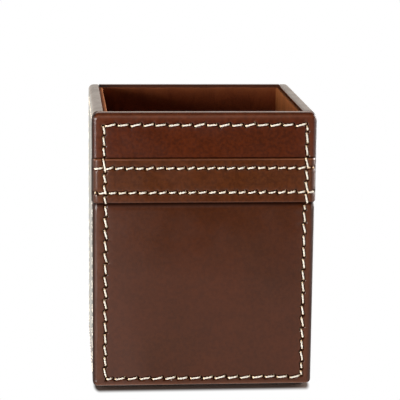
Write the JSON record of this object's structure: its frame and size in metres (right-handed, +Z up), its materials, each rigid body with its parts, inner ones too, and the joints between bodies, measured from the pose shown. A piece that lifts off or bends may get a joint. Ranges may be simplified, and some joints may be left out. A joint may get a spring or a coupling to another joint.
{
  "type": "pen cup",
  "caption": "Square open pen cup with leather-wrapped walls, contrast stitching, a raised band across the front and a suede lining.",
  "frame": {"origin": "centre of the foot, where the pad under the cup meets the desk", "axes": "+Z up through the open mouth; -Y is the front, which carries the band; +X is to the right as seen from the front"},
  "size_m": [0.0832, 0.0837, 0.1042],
  "materials": {
    "upper_leather": "smooth, satin, reddish brown",
    "body_leather": "smooth, satin, brown",
    "band_leather": "smooth, satin, brown",
    "thread": "waxed cream thread",
    "wall_board": "pressed grey board",
    "lining_card": "plain card",
    "lining_suede": "short-napped tan suede",
    "base_felt": "dark pressed felt"
  },
  "bodies": {
    "root": {"front_upper_leather": "upper_leather", "front_lower_leather": "body_leather", "left_leather": "body_leather", "right_leather": "body_leather", "back_leather": "body_leather", "front_band": "band_leather", "front_border_thread": "thread", "left_border_thread": "thread", "right_border_thread": "thread", "back_border_thread": "thread", "band_upper_thread": "thread", "band_lower_thread": "thread", "front_board": "wall_board", "back_board": "wall_board", "left_board": "wall_board", "right_board": "wall_board", "base_board": "wall_board", "front_liner_card": "lining_card", "back_liner_card": "lining_card", "left_liner_card": "lining_card", "right_liner_card": "lining_card", "floor_card": "lining_card", "front_liner_suede": "lining_suede", "back_liner_suede": "lining_suede", "left_liner_suede": "lining_suede", "right_liner_suede": "lining_suede", "floor_suede": "lining_suede", "base_pad": "base_felt"}
  },
  "joints": []
}
